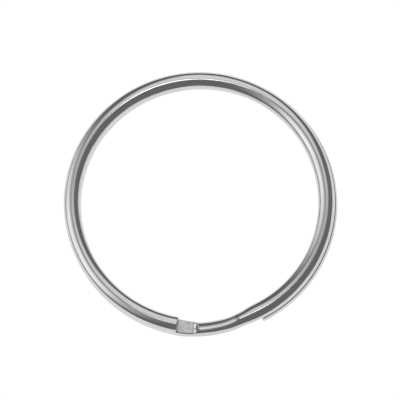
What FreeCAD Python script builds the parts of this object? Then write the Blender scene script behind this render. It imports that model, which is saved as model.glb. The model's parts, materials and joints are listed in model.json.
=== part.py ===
"""Split key ring: one spring-steel wire wound into two flat coils that lie face to face.

Millimetres.  The ring's axis is +Z and it lies flat; the origin is at the middle of its underside.
Angles are in degrees, counter-clockwise seen from above, from +X.

The wire is round at the crossover, where it climbs from the lower coil to the upper one.
Everywhere else it is pressed flat on the side that faces the other coil.
The upper coil runs counter-clockwise from the crossover, and the lower one clockwise.
Half a turn about the crossover's radial line carries one coil onto the other, ends and all.
Each coil is divided where the springy wire twists when its free end is lifted off the other coil.
"""
import FreeCAD, Part
import math
import os

# Wire
ROUND_DIAMETER = 1.60        # before pressing, as it stays at the crossover
PRESSED_WIDTH = 1.85         # widest, across the pressed section
PRESSED_HEIGHT = 1.30        # mating face to crown
CORNER_RADIUS = 0.20         # between the mating face and the bulging sides
CROWN_LAND = 0.40            # width of the narrow flat along the crown, which the ring lies on
MATING_GAP = 0.05            # between the two coils' mating faces

# Coils
OUTER_DIAMETER = 30.0
SPRING_GROWTH = 0.20         # how much further out a coil's free end lies than its start
CROSSOVER_ANGLE = 278.5      # middle of the crossover
CROSSOVER_SPAN = 20.5        # angle that the round wire takes to climb
COIL_SPAN = 330.0            # from a coil's start at the crossover to its cut end
SHOULDER_SPAN = 1.5          # pressed ramp between the mating face and the round wire
TWIST_PLACE = 150.0          # arc from a coil's start to where it twists
ARC_SPAN = 30.0              # the slow spiral is made of true arcs this long
CLIMB_STATIONS = 9           # sections that the climbing wire is lofted through

# What follows from them
THICKNESS = 2 * PRESSED_HEIGHT + MATING_GAP
DOME_RADIUS = PRESSED_WIDTH / 2
DOME_CENTRE = PRESSED_HEIGHT - math.sqrt(DOME_RADIUS**2 - (CROWN_LAND / 2) ** 2)
ROUND_RADIUS = ROUND_DIAMETER / 2
START_RADIUS = OUTER_DIAMETER / 2 - DOME_RADIUS - 0.8 * SPRING_GROWTH
START_ANGLE = CROSSOVER_ANGLE + CROSSOVER_SPAN / 2
COIL_TURN = math.radians(COIL_SPAN)
GROWTH_RATE = SPRING_GROWTH / (COIL_TURN - math.sin(COIL_TURN))    # mm per radian
FULL_TURN = 2 * math.pi
AXIS_FOOT = FreeCAD.Vector(0, 0, 0)
UP = FreeCAD.Vector(0, 0, 1)


def out_from(angle):
    """Unit vector that points outwards at an angle."""
    turn = math.radians(angle)
    return FreeCAD.Vector(math.cos(turn), math.sin(turn), 0)


def along(angle):
    """Unit vector along the coil, counter-clockwise, at an angle."""
    return out_from(angle + 90)


def pressed_outline():
    """Points of the pressed section's right half, each (across, above the mating face).

    They are the mating face's end, the corner arc's middle, the dome arc's start and middle,
    and the crown land's end.
    """
    corner_across = math.sqrt((DOME_RADIUS - CORNER_RADIUS) ** 2 - (DOME_CENTRE - CORNER_RADIUS) ** 2)
    meet = math.atan2(CORNER_RADIUS - DOME_CENTRE, corner_across)
    crown = math.atan2(PRESSED_HEIGHT - DOME_CENTRE, CROWN_LAND / 2)

    def on_corner(turn):
        return corner_across + CORNER_RADIUS * math.cos(turn), CORNER_RADIUS * (1 + math.sin(turn))

    def on_dome(turn):
        return DOME_RADIUS * math.cos(turn), DOME_CENTRE + DOME_RADIUS * math.sin(turn)

    corner = [on_corner(-math.pi / 2), on_corner((meet - math.pi / 2) / 2)]
    return corner + [on_dome(meet), on_dome((meet + crown) / 2), on_dome(crown)]


def pressed_section(centre, radius, angle):
    """Face of the upper coil's section at an angle: mating face down, dome up."""
    middle = centre + out_from(angle) * radius + UP * (THICKNESS - PRESSED_HEIGHT)

    def place(point, side):
        across, above = point
        return middle + out_from(angle) * (side * across) + UP * above

    outline = pressed_outline()
    right = [place(point, 1) for point in outline]
    left = [place(point, -1) for point in outline]
    edges = [Part.makeLine(left[0], right[0])]
    edges.append(Part.Arc(right[0], right[1], right[2]).toShape())
    edges.append(Part.Arc(right[2], right[3], right[4]).toShape())
    edges.append(Part.makeLine(right[4], left[4]))
    edges.append(Part.Arc(left[4], left[3], left[2]).toShape())
    edges.append(Part.Arc(left[2], left[1], left[0]).toShape())
    return Part.Face(Part.Wire(edges))


def spiral_arcs(start, end):
    """True arcs (centre, radius, first angle, sweep) that carry the upper coil from start to end.

    Start and end are degrees of arc from the coil's start.  Each arc's radius is a little larger
    than the last one's, and its centre moves back by as much, so that the path has no kink.
    """
    growth = GROWTH_RATE * math.radians(ARC_SPAN)
    centre = AXIS_FOOT
    radius = START_RADIUS
    arcs = []
    for step in range(round(COIL_SPAN / ARC_SPAN)):
        if step:
            radius += growth
            centre = centre - out_from(START_ANGLE + step * ARC_SPAN) * growth
        low = max(start, step * ARC_SPAN)
        high = min(end, (step + 1) * ARC_SPAN)
        if low < high:
            arcs.append((centre, radius, START_ANGLE + low, high - low))
    return arcs


def pressed_span(start, end):
    """Solids of the upper coil, one to each true arc, between two places along it."""
    solids = []
    for centre, radius, angle, sweep in spiral_arcs(start, end):
        solids.append(pressed_section(centre, radius, angle).revolve(centre, UP, sweep))
    return solids


def joined(solids):
    """One solid from several that meet end to end."""
    return solids[0].multiFuse(solids[1:]).removeSplitter().Solids[0]


def shoulder():
    """Ramp that the press leaves under the upper coil's start, up to the round wire's side."""
    middle = out_from(START_ANGLE) * START_RADIUS
    rim = Part.Circle(middle + UP * (THICKNESS - ROUND_RADIUS), along(START_ANGLE), ROUND_RADIUS)
    stub = Part.Face(Part.Wire([rim.toShape()])).revolve(AXIS_FOOT, UP, SHOULDER_SPAN)
    reach = along(START_ANGLE) * (START_RADIUS * math.radians(SHOULDER_SPAN))
    stand_out = UP * (ROUND_DIAMETER - PRESSED_HEIGHT)
    side = out_from(START_ANGLE) * ROUND_DIAMETER
    ramp_foot = middle + UP * (THICKNESS - ROUND_DIAMETER) - side
    ramp_top = ramp_foot + reach + stand_out
    outline = Part.makePolygon([ramp_foot, ramp_top, ramp_top + reach, ramp_foot - stand_out, ramp_foot])
    waste = Part.Face(outline).extrude(side * 2)
    return stub.cut(waste)


def to_other_coil(shape):
    """The same shape turned half round about the crossover's radial line."""
    turned = shape.copy()
    turned.rotate(UP * (THICKNESS / 2), out_from(CROSSOVER_ANGLE), 180)
    return turned


def climbing_wire():
    """Round wire that climbs from the lower coil to the upper one, level at both ends."""
    rings = []
    climb = THICKNESS - ROUND_DIAMETER
    length = START_RADIUS * math.radians(CROSSOVER_SPAN)
    for station in range(CLIMB_STATIONS):
        share = station / (CLIMB_STATIONS - 1)
        angle = CROSSOVER_ANGLE + (share - 0.5) * CROSSOVER_SPAN
        ease = share - math.sin(FULL_TURN * share) / FULL_TURN
        slope = (1 - math.cos(FULL_TURN * share)) * climb / length
        middle = out_from(angle) * START_RADIUS + UP * (ROUND_RADIUS + ease * climb)
        rings.append(Part.Wire([Part.Circle(middle, along(angle) + UP * slope, ROUND_RADIUS).toShape()]))
    return Part.makeLoft(rings, True, False).Solids[0]


def key_ring():
    """Every node of the ring by name."""
    held_half = joined(pressed_span(0, TWIST_PLACE) + [shoulder()])
    free_half = joined(pressed_span(TWIST_PLACE, COIL_SPAN))
    return {
        "crossover_bend": climbing_wire(),
        "upper_coil_held_half": held_half,
        "upper_coil_free_half": free_half,
        "lower_coil_held_half": to_other_coil(held_half),
        "lower_coil_free_half": to_other_coil(free_half),
    }


os.makedirs("parts", exist_ok=True)
for node_name, shape in key_ring().items():
    shape.exportStep(f"parts/{node_name}.step")
    print(node_name, shape.ShapeType, shape.isValid(), round(shape.Volume, 3))
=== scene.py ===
"""Split key ring: the looks of one nickel-plated spring wire wound into two face-to-face coils.

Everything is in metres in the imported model's frame: the ring's axis is +Z, and it lies on Z = 0.
The wire is one path, run by an angle in degrees that grows counter-clockwise seen from above.
It starts at the lower coil's cut end, runs down the lower coil to the crossover, climbs there,
and runs up the upper coil to its cut end.
"""
import json
import bpy
import numpy as np
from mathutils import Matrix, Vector


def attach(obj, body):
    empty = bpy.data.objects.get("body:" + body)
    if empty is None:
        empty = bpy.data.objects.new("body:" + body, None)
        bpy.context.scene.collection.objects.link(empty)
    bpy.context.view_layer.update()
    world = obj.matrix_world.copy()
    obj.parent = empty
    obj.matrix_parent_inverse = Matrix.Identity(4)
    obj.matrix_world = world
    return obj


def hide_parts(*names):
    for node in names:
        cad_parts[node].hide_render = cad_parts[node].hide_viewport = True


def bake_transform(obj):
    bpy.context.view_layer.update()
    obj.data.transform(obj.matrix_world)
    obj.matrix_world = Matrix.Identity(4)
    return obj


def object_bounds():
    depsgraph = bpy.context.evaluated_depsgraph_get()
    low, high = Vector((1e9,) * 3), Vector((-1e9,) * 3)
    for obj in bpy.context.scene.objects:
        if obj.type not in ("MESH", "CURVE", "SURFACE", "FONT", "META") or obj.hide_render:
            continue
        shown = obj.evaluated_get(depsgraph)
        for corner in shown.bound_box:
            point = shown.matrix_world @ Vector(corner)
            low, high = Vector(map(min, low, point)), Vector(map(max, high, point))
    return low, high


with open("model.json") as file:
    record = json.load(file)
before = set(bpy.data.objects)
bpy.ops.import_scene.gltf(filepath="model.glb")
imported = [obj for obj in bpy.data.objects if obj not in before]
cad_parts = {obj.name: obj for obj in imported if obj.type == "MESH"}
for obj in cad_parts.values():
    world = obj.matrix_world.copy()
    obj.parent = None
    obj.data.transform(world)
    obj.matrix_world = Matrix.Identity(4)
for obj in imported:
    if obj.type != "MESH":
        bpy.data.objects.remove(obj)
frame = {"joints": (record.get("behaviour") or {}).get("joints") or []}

CAD_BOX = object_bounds()
MM = 0.001

# The wire
ROUND_RADIUS = 0.80 * MM     # before pressing, as it stays at the crossover
PRESSED_WIDTH = 1.85 * MM
PRESSED_HEIGHT = 1.30 * MM   # mating face to crown
WIDEST_HEIGHT = 0.55 * MM    # of the pressed section, above its mating face
SIDE_DEPTH = 0.842 * MM      # half height of the oval that its sides below the widest follow
UPPER_START_RADIUS = 13.85 * MM
LOWER_START_RADIUS = 14.15 * MM
UPPER_GROWTH = 0.25 * MM     # how much further out the upper coil's free end lies than its start
LOWER_GROWTH = -0.17 * MM    # the lower coil's closes in a little instead
UPPER_LAY = np.array([0.0, -0.042]) * MM      # how far each coil lies off the ring's middle
LOWER_LAY = np.array([0.166, 0.030]) * MM
INSTEP_START = 2.5           # degrees past the crossover's middle where the wire starts to step in
INSTEP_SPAN = 16.0           # degrees in which it steps in from the lower coil's radius to the upper's
LAY_SPAN = 30.0              # degrees in which a coil comes to lie off
CROSSOVER_SPAN = 20.5        # degrees that the round wire takes to climb
UPPER_SPAN = 331.0           # degrees from a coil's start at the crossover to its cut end
LOWER_SPAN = 331.0
SHOULDER_START = 2.15        # degrees into a coil where the ramp beside the round wire begins
SHOULDER_SPAN = 2.8          # degrees that the ramp takes
FACE_CORNER = 0.19 * MM      # radius between the mating face and the sides
RAMP_CURVE = 2.0             # how the ramp steepens towards the round wire
CLIMB_EASE = 0.14            # share of the climb that each of its level ends takes
RAMP_GROOVE = 0.035 * MM     # depth of the shallow groove down the shoulder's ramp
RAMP_GROOVE_WIDTH = 0.15     # its half width, as a share of the face's
GROOVE_RISE = 1 / 3          # share of the ramp in which the groove deepens from the mating face
GROOVE_FALL = 1 / 4          # share of the ramp in which it fades at the round wire
SATIN_FADE = 1 / 3           # share of the ramp in which the satin face gives way to polish
SWELL_START = -1.5           # degrees into a coil where the wire starts to widen
SWELL_SPAN = 9.0             # degrees in which it widens to the pressed width
TWIST_REACH = 50.0           # degrees each side of a joint that the twist pieces reach
CUT_BEVEL = 0.10 * MM        # radius of the rounded edge round a cut end

# How finely the surfaces are cut
AROUND = 160                 # points round a section
COIL_STEP = 0.75             # degrees from one section to the next
FINE_STEP = 0.06             # the same beside each coil's start
FINE_REACH = 2.5             # degrees each side of a coil's start that have fine steps
BEVEL_STEPS = 6              # steps round a cut end's rounded edge
CAP_RINGS = 5                # rings from an end's rim to its middle, the middle counted
LEAST = 1e-6                 # keeps a divisor off nought

# The finishes.  A mark is how many there are per mm along, across and up the wire, and its contrast.
# Reliefs are in mm, and a pair is the least and the most.
PLATE_COLOR = (0.62, 0.62, 0.615)
SATIN_COLOR = (0.63, 0.63, 0.62)
STEEL_COLOR = (0.36, 0.35, 0.34)
MARKS = {
    "drawn": ((0.12, 3.4, 3.4), 2.2),
    "fine": ((0.35, 15.0, 15.0), 3.0),
    "cloud": ((0.30, 0.8, 0.8), 2.5),
    "mottle": ((1.6, 2.6, 2.6), 3.5),
    "shear": ((9.0, 12.0, 1.2), 3.0),
}
MARK_DETAIL = 3.0            # octaves of finer noise in every mark
PLATE_TONES = (0.90, 1.08)
SATIN_TONES = (0.80, 1.08)
STEEL_TONES = (0.60, 1.25)
PLATE_ROUGHNESS = (0.06, 0.13)
SATIN_ROUGHNESS = (0.27, 0.32)
STEEL_ROUGHNESS = 0.42
DRAWN_RELIEF = 0.004
FINE_RELIEF = 0.00015
MOTTLE_RELIEF = 0.0009
SHEAR_RELIEF = 0.006

# The studio.  Each lamp is its azimuth, its angle from straight up, its roll, its half width and
# half height, all in degrees, then the share of its size that its edge fades over, and its strength.
FLOOR_DROP = 3.4 * MM        # clear of the lower coil's end where it is pulled down
FLOOR_HALF = 0.5             # metres from the floor's middle to its sides
FLOOR_TONE = 0.05            # base colour under the glow
ROOM_LIGHT = 0.195           # strength of the room between the lamps
HORIZON_HEIGHT = 0.40        # height of a direction's tip above which no dusk is left
HORIZON_SHADE = 0.15         # share of the light that is left at the horizon
LAMP_CORNER = 3.0            # power that rounds a lamp's corners: 2 is an ellipse
LEAST_AHEAD = 0.05           # cosine under which a direction counts as behind a lamp
LAMPS = {
    "left_soft_box": (175, 48, 55, 28, 23, 0.95, 1.15),
    "rear_soft_box": (80, 37, -5, 18, 23, 0.40, 0.80),
    "small_lamp_above": (79, 7.5, 0, 4.5, 3, 0.40, 3.0),
    "low_left_strip": (165, 90, -33, 34, 12, 0.75, 0.75),
    "low_front_strip": (235, 89, 0, 60, 8, 0.55, 5.0),
    "left_edge_strip": (195, 37, 18, 9, 28, 0.40, 0.27),
    "right_strip": (350, 84, 90, 5, 53, 0.80, 3.6),
}

# The view
VIEW_ELEVATION = 74.7            # degrees above the floor
VIEW_DISTANCE = 1.7              # metres
FRAME_OVER_RING = 1.463          # width of the picture over the ring's
AIM_OFFSET = (-0.0004, 0.009)    # aim beside and beyond the ring's middle, in frame widths
SENSOR = 36.0                    # millimetres, as the lens
NEAREST = 0.01                   # metres


def joint(name):
    """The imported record's joint of that name."""
    return next(j for j in frame["joints"] if j["name"] == name)


def azimuth_of(point):
    """Angle in degrees of a point about the ring's axis."""
    return float(np.degrees(np.arctan2(point[1], point[0]))) % 360


LOW, HIGH = (np.array(corner) for corner in CAD_BOX)
THICKNESS = HIGH[2] - LOW[2]
UPPER_HINGE = azimuth_of(joint("upper_end_lift")["pos_m"])
LOWER_HINGE = azimuth_of(joint("lower_end_lift")["pos_m"])
CROSSOVER = (UPPER_HINGE + LOWER_HINGE) / 2 + 180
UPPER_START = CROSSOVER + CROSSOVER_SPAN / 2
LOWER_START = CROSSOVER - CROSSOVER_SPAN / 2
TWIST_ARC = UPPER_HINGE + 360 - UPPER_START    # degrees from a coil's start to its joint
COIL_TURN = np.radians(UPPER_SPAN)
GROWTH_ARC = COIL_TURN - np.sin(COIL_TURN)     # a free end's growth over the radius's growth per radian
DOME_HALF_WIDTH = PRESSED_WIDTH / 2
DOME_RISE = PRESSED_HEIGHT - WIDEST_HEIGHT


def ease(x):
    """0 before 0 and 1 after 1, with level ends: 3x^2 - 2x^3 between."""
    x = np.clip(x, 0, 1)
    return x * x * (3 - 2 * x)


def climb_height(share):
    """Height share of the climb, and its slope: level at both ends and straight between them.

    The slope eases from 0 to 1 / (1 - e) over the first share e, and back over the last.
    With x = share / e, the height there is e (x^3 - x^4 / 2) / (1 - e), and straight on from it.
    """
    share = np.clip(share, 0, 1)
    near = np.minimum(share, 1 - share)
    x = np.minimum(near / CLIMB_EASE, 1)
    height = np.where(near < CLIMB_EASE, CLIMB_EASE * (x**3 - x**4 / 2), near - CLIMB_EASE / 2)
    height = height / (1 - CLIMB_EASE)
    return np.where(share > 0.5, 1 - height, height), ease(x) / (1 - CLIMB_EASE)


def wire_path(angle):
    """Middle of the round wire, its outward and its lifting direction at each angle.

    Along each coil the radius of curvature grows in step with the arc, and its centre moves back
    against the outward direction by as much: centre = - rate * integral of the outward direction.
    The radius eases from the lower coil's to the upper one's past the crossover's middle, and the
    height eases across all of it.
    """
    upper = angle > CROSSOVER
    start = np.where(upper, UPPER_START, LOWER_START)
    rate = np.where(upper, UPPER_GROWTH, LOWER_GROWTH) / GROWTH_ARC
    side = np.where(upper, 1.0, -1.0)
    arc = np.radians(np.maximum(side * (angle - start), 0))
    turn, first = np.radians(angle), np.radians(start)
    instep = ease((angle - CROSSOVER - INSTEP_START) / INSTEP_SPAN)
    radius = LOWER_START_RADIUS + instep * (UPPER_START_RADIUS - LOWER_START_RADIUS) + rate * arc
    out = np.stack([np.cos(turn), np.sin(turn), np.zeros_like(turn)], axis=-1)
    drift = np.stack([np.sin(turn) - np.sin(first), np.cos(first) - np.cos(turn)], axis=-1)
    drift = drift * (-rate * side * (arc > 0))[:, None]
    share = (angle - LOWER_START) / CROSSOVER_SPAN
    climb = THICKNESS - 2 * ROUND_RADIUS
    middle = out * radius[:, None]
    middle[:, :2] += drift + ease((CROSSOVER - angle) / LAY_SPAN)[:, None] * LOWER_LAY
    middle[:, :2] += ease((angle - CROSSOVER) / LAY_SPAN)[:, None] * UPPER_LAY
    height, slope = climb_height(share)
    middle[:, 2] = LOW[2] + ROUND_RADIUS + climb * height
    slope = slope * climb / (LOWER_START_RADIUS * np.radians(CROSSOVER_SPAN))
    along = np.stack([-np.sin(turn), np.cos(turn), slope], axis=-1)
    along /= np.linalg.norm(along, axis=1)[:, None]
    return middle, out, np.cross(out, along)


def outline_reach(bearing, radius, centre, face, corner):
    """How far a section reaches in each bearing, how much of that is face, and the face's half width.

    A circle about a centre c above the wire's middle is cut off at the face, with an arc r between
    them: circle  c sin b + root of (R^2 - c^2 cos^2 b),   face  height / sin b,   arc  d + root of
    (d^2 - |q|^2 + r^2), where q = (root of ((R - r)^2 - lift^2), c + lift) is the arc's centre,
    lift = face + r - c, and d is q's share along the bearing.
    """
    run, rise = np.abs(np.cos(bearing)), np.sin(bearing)
    circle = centre * rise + np.sqrt(radius**2 - (centre * run) ** 2)
    lift = np.clip(face + corner - centre, corner - radius, None)
    width = np.sqrt(np.maximum((radius - corner) ** 2 - lift**2, 0))
    depth = centre + lift
    along = width * run + depth * rise
    arc = along + np.sqrt(np.maximum(along**2 - width**2 - depth**2 + corner**2, 0))
    face_end = np.arctan2(depth - corner, width)
    stretch = radius / (radius - corner)
    arc_end = np.arctan2(centre + lift * stretch, width * stretch)
    level = np.arctan2(rise, run)
    flat = (depth - corner) / np.minimum(rise, -LEAST)
    reach = np.where(level < face_end, flat, np.where(level < arc_end, arc, circle))
    return reach, 1 - ease((level - face_end) / np.maximum(arc_end - face_end, LEAST)), width


def section(angle, bearing):
    """Section points across and up from the round wire's middle, and how satin each is.

    It is round at the crossover and wider where it is pressed: a circle is worked out first, and
    its heights about its centre are then scaled to the dome's rise above and the side's depth
    below.  The face's depth follows share ** curve up the ramp at the shoulder, so the round wire
    stands whole, and a groove, exp(-(across / width)^2), runs up that ramp.  The lower coil's
    section is upside down.
    """
    upper = np.where(angle > CROSSOVER, 1.0, -1.0)[:, None]
    start = np.where(angle > CROSSOVER, UPPER_START, LOWER_START)
    arc = (upper[:, 0] * (angle - start))[:, None]
    swell = ease((arc - SWELL_START) / SWELL_SPAN)
    radius = ROUND_RADIUS + swell * (DOME_HALF_WIDTH - ROUND_RADIUS)
    centre = swell * (ROUND_RADIUS - DOME_RISE)
    ramp = np.clip((SHOULDER_START - arc) / SHOULDER_SPAN, 0, 1)
    face = ROUND_RADIUS - PRESSED_HEIGHT - (2 * ROUND_RADIUS - PRESSED_HEIGHT) * ramp**RAMP_CURVE
    above = 1 + swell * (DOME_RISE / DOME_HALF_WIDTH - 1)
    below = 1 + swell * (SIDE_DEPTH / DOME_HALF_WIDTH - 1)
    face = centre + (face - centre) / below
    facing = np.arctan2(np.sin(bearing) * upper, np.cos(bearing))
    reach, flat, width = outline_reach(facing, radius, centre, face, FACE_CORNER)
    across = reach * np.cos(facing)
    height = reach * np.sin(facing) - centre
    height = centre + height * np.where(height > 0, above, below)
    satin = flat * ease(1 - ramp / SATIN_FADE)
    trough = np.exp(-((across / np.maximum(RAMP_GROOVE_WIDTH * width, LEAST)) ** 2))
    trough = trough * ease(ramp / GROOVE_RISE) * ease((1 - ramp) / GROOVE_FALL)
    height = height + RAMP_GROOVE * trough * flat
    return across, height * upper, satin


def grid_faces(rows, columns):
    """Quads of a grid whose columns close into a ring."""
    row, column = np.meshgrid(np.arange(rows - 1), np.arange(columns), indexing="ij")
    ahead = (column + 1) % columns
    here, beyond = row * columns, (row + 1) * columns
    return np.stack([here + column, here + ahead, beyond + ahead, beyond + column], axis=-1).reshape(-1, 4)


def stations(first, last):
    """Angles from first to last, close together beside each coil's start."""
    coil_starts = np.array([LOWER_START, UPPER_START])
    knots = np.concatenate([[first, last], coil_starts - FINE_REACH, coil_starts + FINE_REACH])
    knots = np.unique(np.clip(knots, first, last))
    spans = []
    for low, high in zip(knots[:-1], knots[1:]):
        near = np.abs((low + high) / 2 - coil_starts).min() < FINE_REACH / 2
        step = FINE_STEP if near else COIL_STEP
        count = max(2, int(np.ceil((high - low) / step)) + 1)
        spans.append(np.linspace(low, high, count)[:-1])
    return np.append(np.concatenate(spans), last)


def inset(across, height, depth):
    """A closed section drawn in by a depth, along the normals of its own outline.

    The normal is the step from the point before to the one after, turned a quarter: (-up, across).
    """
    step_across = np.roll(across, -1, axis=1) - np.roll(across, 1, axis=1)
    step_height = np.roll(height, -1, axis=1) - np.roll(height, 1, axis=1)
    length = np.hypot(step_across, step_height)
    return across - depth * step_height / length, height + depth * step_across / length


def with_cut(angle, cut_at):
    """Angles with a cut end's rounded edge (cut_at -1 for the first, 1 for the last), and the inset.

    The section draws in by 1 - cos of a quarter turn while the path runs on by its sin.
    """
    draw_in = np.zeros(len(angle))
    if not cut_at:
        return angle, draw_in
    end = angle[-1] if cut_at > 0 else angle[0]
    quarter = np.linspace(0, np.pi / 2, BEVEL_STEPS + 1)
    run = np.degrees(CUT_BEVEL / UPPER_START_RADIUS)
    keep = cut_at * (angle - end) < -run
    angle = np.append(angle[keep], end - cut_at * run * (1 - np.sin(quarter)))
    draw_in = np.append(draw_in[keep], CUT_BEVEL * (1 - np.cos(quarter)))
    order = np.argsort(angle)
    return angle[order], draw_in[order]


def shrinking_rings(rim):
    """Points of the rings between an end's rim and its middle: middle + share * (rim - middle).

    The middle itself comes last.
    """
    middle = rim.mean(axis=0)
    shares = 1 - np.arange(1, CAP_RINGS) / CAP_RINGS
    rings = middle + shares[:, None, None] * (rim - middle)
    return np.vstack([rings.reshape(-1, 3), middle[None]])


def end_faces(rim, first_point, turned):
    """Quads from an end's rim through its shrinking rings, and the triangles round its middle.

    The first end's are turned, so that they too face outwards.
    """
    column = np.arange(AROUND)
    inner = first_point + column
    middle = first_point + (CAP_RINGS - 1) * AROUND
    innermost = middle - AROUND + column
    bridge = np.stack([rim, np.roll(rim, -1), np.roll(inner, -1), inner], axis=-1)
    quads = np.vstack([bridge, grid_faces(CAP_RINGS - 1, AROUND) + first_point])
    fan = np.stack([innermost, np.roll(innermost, -1), np.full(AROUND, middle)], axis=-1)
    return (quads[:, ::-1], fan[:, ::-1]) if turned else (quads, fan)


def sharpen_rims(mesh, rows):
    """Marks the first and the last section's own edges as sharp, so the ends don't shade the sides."""
    ends = np.zeros(len(mesh.edges) * 2, np.int32)
    mesh.edges.foreach_get("vertices", ends)
    row = ends.reshape(-1, 2) // AROUND
    on_rim = (row[:, 0] == row[:, 1]) & np.isin(row[:, 0], (0, rows - 1))
    mesh.attributes.new("sharp_edge", "BOOLEAN", "EDGE").data.foreach_set("value", on_rim)


def make_wire(name, first, last, cut_at=0):
    """Surface of the wire from one angle to another: the section carried along the path.

    Its attributes are how satin each point is, whether it is on a cut end, and its place along,
    across and up the wire in millimetres.
    """
    angle, draw_in = with_cut(stations(first, last), cut_at)
    bearing = np.linspace(0, 2 * np.pi, AROUND, endpoint=False)[None, :] - np.pi / 2
    across, height, satin = section(angle, bearing)
    across, height = inset(across, height, draw_in[:, None])
    middle, out, lift = wire_path(angle)
    points = middle[:, None] + across[..., None] * out[:, None] + height[..., None] * lift[:, None]
    travelled = np.broadcast_to((np.radians(angle) * UPPER_START_RADIUS)[:, None], across.shape)
    places = np.stack([travelled, across, height], axis=-1) / MM
    points, places = (np.vstack([grid.reshape(-1, 3), shrinking_rings(grid[0]), shrinking_rings(grid[-1])])
                      for grid in (points, places))
    wall = across.size
    cap = (len(points) - wall) // 2
    rim = np.arange(AROUND)
    first_quads, first_fan = end_faces(rim, wall, True)
    last_quads, last_fan = end_faces(wall - AROUND + rim, wall + cap, False)
    quads = np.vstack([grid_faces(len(angle), AROUND), first_quads, last_quads])
    fans = np.vstack([first_fan, last_fan])
    mesh = bpy.data.meshes.new(name)
    mesh.from_pydata(points.tolist(), [], quads.tolist() + fans.tolist())
    mesh.shade_smooth()
    sharpen_rims(mesh, len(angle))
    satin = np.append(satin.ravel(), np.zeros(2 * cap))
    cut = np.append(np.repeat(draw_in / CUT_BEVEL, AROUND), np.ones(2 * cap))
    for label, values in (("mating_face", satin), ("cut_end", cut)):
        mesh.attributes.new(label, "FLOAT", "POINT").data.foreach_set("value", values.astype(np.float32))
    spots = mesh.attributes.new("wire_place", "FLOAT_VECTOR", "POINT")
    spots.data.foreach_set("vector", places.astype(np.float32).ravel())
    piece = bpy.data.objects.new(name, mesh)
    bpy.context.scene.collection.objects.link(piece)
    return piece


def node_tools(tree):
    """Two helpers for a node tree: one adds a node with its inputs and settings, one does arithmetic."""

    def add(kind, inputs=None, **settings):
        node = tree.nodes.new(kind)
        for name, value in settings.items():
            setattr(node, name, value)
        for name, value in (inputs or {}).items():
            if isinstance(value, bpy.types.NodeSocket):
                tree.links.new(value, node.inputs[name])
            else:
                node.inputs[name].default_value = value
        return node

    def work(operation, *values):
        return add("ShaderNodeMath", dict(enumerate(values)), operation=operation).outputs[0]

    return add, work


def open_group(name, inputs, outputs):
    """A new shader node group with named inputs and outputs, and its helpers."""
    group = bpy.data.node_groups.new(name, "ShaderNodeTree")
    for direction, sockets in (("INPUT", inputs), ("OUTPUT", outputs)):
        for socket, kind in sockets.items():
            group.interface.new_socket(socket, in_out=direction, socket_type="NodeSocket" + kind)
    add, work = node_tools(group)
    return group, add("NodeGroupInput").outputs, add("NodeGroupOutput").inputs, add, work


def streaks_group():
    """Marks that run along one direction: noise on a place that is stretched by a scale per axis.

    The marks are 0 to 1, and their contrast is raised about the noise's middle.
    """
    group, given, result, add, work = open_group(
        "streaks", {"Place": "Vector", "Marks per mm": "Vector", "Contrast": "Float"}, {"Marks": "Float"})
    scaling = {0: given["Place"], 1: given["Marks per mm"]}
    stretched = add("ShaderNodeVectorMath", scaling, operation="MULTIPLY")
    noise = add("ShaderNodeTexNoise", {"Vector": stretched.outputs[0], "Scale": 1.0, "Detail": MARK_DETAIL})
    spread = work("MULTIPLY", work("SUBTRACT", noise.outputs["Fac"], 0.5), given["Contrast"])
    marks = add("ShaderNodeClamp", {"Value": work("ADD", spread, 0.5)})
    group.links.new(marks.outputs[0], result["Marks"])
    return group


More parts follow.
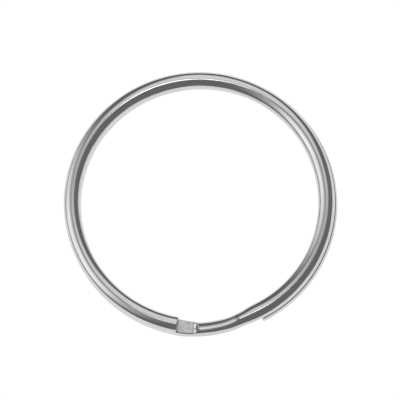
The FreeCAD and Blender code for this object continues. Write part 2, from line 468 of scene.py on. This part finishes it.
def metal_surface_group():
    """Colour, roughness and normal of the wire: polished, satin where pressed, sheared at its cuts.

    Each of the three finishes has a base colour, a roughness and a height, and the masks mix them.
    Drawing marks run along the polished wire, press mottle lies on the mating face, and the
    sheared end has upright marks.
    """
    group, given, result, add, work = open_group(
        "metal_surface", {"Plate Color": "Color", "Satin Color": "Color", "Steel Color": "Color"},
        {"Color": "Color", "Roughness": "Float", "Normal": "Vector"})
    streaks = streaks_group()
    place = add("ShaderNodeAttribute", attribute_name="wire_place").outputs["Vector"]
    pressed = add("ShaderNodeAttribute", attribute_name="mating_face").outputs["Fac"]
    sheared = add("ShaderNodeAttribute", attribute_name="cut_end").outputs["Fac"]

    def marks(name):
        per_mm, contrast = MARKS[name]
        inputs = {"Place": place, "Marks per mm": per_mm, "Contrast": contrast}
        return add("ShaderNodeGroup", inputs, node_tree=streaks).outputs["Marks"]

    def mixed(kind, mask, first, second):
        """The mix of two values or colours by a mask."""
        node = add("ShaderNodeMix", data_type=kind)
        sockets = [socket for socket in node.inputs if socket.enabled]
        for socket, value in zip(sockets, (mask, first, second)):
            if isinstance(value, bpy.types.NodeSocket):
                group.links.new(value, socket)
            else:
                socket.default_value = value
        return next(socket for socket in node.outputs if socket.enabled)

    def between(mark, low, high):
        """A value from low to high as the mark goes from 0 to 1."""
        return add("ShaderNodeMapRange", {"Value": mark, "To Min": low, "To Max": high}).outputs["Result"]

    def toned(name, tone):
        """One of the given colours, lighter or darker."""
        return add("ShaderNodeVectorMath", {0: given[name], "Scale": tone}, operation="SCALE").outputs[0]

    drawn, fine, cloud, mottle, shear = (marks(name) for name in MARKS)
    plate = toned("Plate Color", between(work("MULTIPLY", work("ADD", cloud, drawn), 0.5), *PLATE_TONES))
    satin = toned("Satin Color", between(mottle, *SATIN_TONES))
    steel = toned("Steel Color", between(shear, *STEEL_TONES))
    color = mixed("RGBA", sheared, mixed("RGBA", pressed, plate, satin), steel)
    plate_gloss = between(work("MULTIPLY", work("ADD", cloud, fine), 0.5), *PLATE_ROUGHNESS)
    satin_gloss = between(mottle, *SATIN_ROUGHNESS)
    gloss = mixed("FLOAT", sheared, mixed("FLOAT", pressed, plate_gloss, satin_gloss), STEEL_ROUGHNESS)
    relief = work("ADD", work("MULTIPLY", drawn, DRAWN_RELIEF), work("MULTIPLY", fine, FINE_RELIEF))
    satin_relief = work("MULTIPLY", mottle, MOTTLE_RELIEF)
    steel_relief = work("MULTIPLY", shear, SHEAR_RELIEF)
    height = mixed("FLOAT", sheared, mixed("FLOAT", pressed, relief, satin_relief), steel_relief)
    bump = add("ShaderNodeBump", {"Height": height, "Distance": MM, "Strength": 1.0})
    for name, socket in (("Color", color), ("Roughness", gloss), ("Normal", bump.outputs["Normal"])):
        group.links.new(socket, result[name])
    return group


def plated_wire():
    """Polished nickel plate on the wire, with its satin mating faces and its sheared ends."""
    material = bpy.data.materials.new("plated_wire")
    material.use_nodes = True
    tree = material.node_tree
    shader = tree.nodes["Principled BSDF"]
    shader.inputs["Metallic"].default_value = 1
    colors = {"Plate Color": PLATE_COLOR, "Satin Color": SATIN_COLOR, "Steel Color": STEEL_COLOR}
    add = node_tools(tree)[0]
    inputs = {name: (*color, 1) for name, color in colors.items()}
    surface = add("ShaderNodeGroup", inputs, node_tree=metal_surface_group())
    for name, target in (("Color", "Base Color"), ("Roughness", "Roughness"), ("Normal", "Normal")):
        tree.links.new(surface.outputs[name], shader.inputs[target])
    return material


wire_finish = plated_wire()
blend_low, blend_high = TWIST_ARC - TWIST_REACH, TWIST_ARC + TWIST_REACH
held = make_wire("held_wire", LOWER_START - blend_low, UPPER_START + blend_low)
upper_twist = make_wire("upper_coil_twist", UPPER_START + blend_low, UPPER_START + blend_high)
lower_twist = make_wire("lower_coil_twist", LOWER_START - blend_high, LOWER_START - blend_low)
upper_end = make_wire("upper_coil_end", UPPER_START + blend_high, UPPER_START + UPPER_SPAN, cut_at=1)
lower_end = make_wire("lower_coil_end", LOWER_START - LOWER_SPAN, LOWER_START - blend_high, cut_at=-1)
for piece in (held, upper_twist, lower_twist, upper_end, lower_end):
    piece.data.materials.append(wire_finish)


def path_point(angle):
    """The wire's middle at one angle."""
    return tuple(wire_path(np.array([float(angle)]))[0][0])


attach(held, "held_wire")
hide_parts("crossover_bend", "upper_coil_held_half", "lower_coil_held_half")
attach(upper_end, "upper_free_end")
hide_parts("upper_coil_free_half")
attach(lower_end, "lower_free_end")
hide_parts("lower_coil_free_half")
path_point(UPPER_START + blend_low)
path_point(UPPER_START + blend_high)
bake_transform(upper_twist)
path_point(LOWER_START - blend_low)
path_point(LOWER_START - blend_high)
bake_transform(lower_twist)


def make_floor():
    """Plain white floor that glows, so that it stays even under and around the ring."""
    corners = [(FLOOR_HALF * x, FLOOR_HALF * y, 0) for x, y in ((-1, -1), (1, -1), (1, 1), (-1, 1))]
    mesh = bpy.data.meshes.new("studio_floor")
    mesh.from_pydata(corners, [], [(0, 1, 2, 3)])
    material = bpy.data.materials.new("studio_floor")
    material.use_nodes = True
    shader = material.node_tree.nodes["Principled BSDF"]
    shader.inputs["Base Color"].default_value = (FLOOR_TONE, FLOOR_TONE, FLOOR_TONE, 1)
    shader.inputs["Emission Color"].default_value = (1, 1, 1, 1)
    shader.inputs["Emission Strength"].default_value = 1.0
    mesh.materials.append(material)
    floor = bpy.data.objects.new("studio_floor", mesh)
    bpy.context.scene.collection.objects.link(floor)
    floor.location.z = LOW[2] - FLOOR_DROP


def sky_direction(azimuth, from_zenith):
    """Unit vector towards a place in the sky, from its azimuth and its angle from straight up."""
    turn, lean = np.radians(azimuth), np.radians(from_zenith)
    return np.array([np.sin(lean) * np.cos(turn), np.sin(lean) * np.sin(turn), np.cos(lean)])


def soft_lamp_group():
    """Brightness of one soft lamp in a direction: a rounded rectangle with a soft edge.

    The direction is laid on the plane that faces the lamp: x and y are its shares of the lamp's
    half sizes, r = cube root of (|x|^3 + |y|^3), and the light eases from 1 to 0 as r passes 1.
    """
    vectors = {name: "Vector" for name in ("Direction", "Facing", "Across", "Up")}
    values = {name: "Float" for name in ("Edge Start", "Edge End", "Strength")}
    group, given, result, add, work = open_group("soft_lamp", {**vectors, **values}, {"Light": "Float"})

    def share(name):
        """How far the direction goes along one of the lamp's own directions."""
        sides = {0: given["Direction"], 1: given[name]}
        return add("ShaderNodeVectorMath", sides, operation="DOT_PRODUCT").outputs["Value"]

    def powered(name):
        """One of the direction's shares, raised to the power that rounds the corners."""
        return work("POWER", work("ABSOLUTE", work("DIVIDE", share(name), ahead)), LAMP_CORNER)

    ahead = work("MAXIMUM", share("Facing"), LEAST_AHEAD)
    reach = work("POWER", work("ADD", powered("Across"), powered("Up")), 1 / LAMP_CORNER)
    limits = {"From Min": given["Edge Start"], "From Max": given["Edge End"], "To Min": 1, "To Max": 0}
    edge = add("ShaderNodeMapRange", {"Value": reach, **limits}, interpolation_type="SMOOTHSTEP")
    in_front = work("GREATER_THAN", share("Facing"), LEAST_AHEAD)
    light = work("MULTIPLY", work("MULTIPLY", edge.outputs["Result"], in_front), given["Strength"])
    group.links.new(light, result["Light"])
    return group


def lamp_inputs(azimuth, from_zenith, roll, half_width, half_height, softness, strength):
    """A lamp's place and size as its group takes them.

    Across and up are unit vectors, turned by the roll and divided by the tangent of the half size,
    so that the lamp's edge is at 1.
    """
    facing = sky_direction(azimuth, from_zenith)
    side = np.array([-np.sin(np.radians(azimuth)), np.cos(np.radians(azimuth)), 0])
    rise = np.cross(facing, side)
    turn = np.radians(roll)
    across = (np.cos(turn) * side + np.sin(turn) * rise) / np.tan(np.radians(half_width))
    up = (np.cos(turn) * rise - np.sin(turn) * side) / np.tan(np.radians(half_height))
    return {"Facing": facing, "Across": across, "Up": up,
            "Edge Start": 1 - softness, "Edge End": 1 + softness, "Strength": strength}


def make_world():
    """Dim room with a few soft lamps, darker along the horizon, and plain white to the camera."""
    world = bpy.data.worlds.new("studio")
    bpy.context.scene.world = world
    world.use_nodes = True
    tree = world.node_tree
    add, work = node_tools(tree)
    direction = add("ShaderNodeTexCoord").outputs["Generated"]
    lamp_group = soft_lamp_group()
    light = ROOM_LIGHT
    for lamp in LAMPS.values():
        node = add("ShaderNodeGroup", {"Direction": direction, **lamp_inputs(*lamp)}, node_tree=lamp_group)
        light = work("ADD", node.outputs["Light"], light)
    height = add("ShaderNodeSeparateXYZ", {0: direction}).outputs["Z"]
    limits = {"From Min": 0, "From Max": HORIZON_HEIGHT, "To Min": HORIZON_SHADE, "To Max": 1}
    dusk = add("ShaderNodeMapRange", {"Value": height, **limits}, interpolation_type="SMOOTHSTEP")
    shaded = work("MULTIPLY", light, dusk.outputs["Result"])
    from_camera = add("ShaderNodeLightPath").outputs["Is Camera Ray"]
    seen = add("ShaderNodeMix", {"Factor": from_camera, "A": shaded, "B": 1})
    background = tree.nodes["Background"]
    background.inputs["Color"].default_value = (1, 1, 1, 1)
    tree.links.new(seen.outputs["Result"], background.inputs["Strength"])
    bpy.context.scene.view_settings.view_transform = "Standard"


def make_camera():
    """Camera above and in front of the ring, with a long lens, so far things look as large as near."""
    data = bpy.data.cameras.new("camera")
    camera = bpy.data.objects.new("camera", data)
    bpy.context.scene.collection.objects.link(camera)
    tilt = np.radians(VIEW_ELEVATION)
    frame_width = (HIGH[0] - LOW[0]) * FRAME_OVER_RING
    beside, beyond = AIM_OFFSET
    aim = Vector((beside * frame_width, beyond * frame_width / np.sin(tilt), THICKNESS / 2))
    away = Vector((0, -np.cos(tilt), np.sin(tilt)))
    camera.location = aim + away * VIEW_DISTANCE
    camera.rotation_euler = away.to_track_quat("Z", "Y").to_euler()
    data.sensor_width = SENSOR
    data.lens = SENSOR * VIEW_DISTANCE / frame_width
    data.clip_start = NEAREST
    bpy.context.scene.camera = camera


make_floor()
make_world()
make_camera()
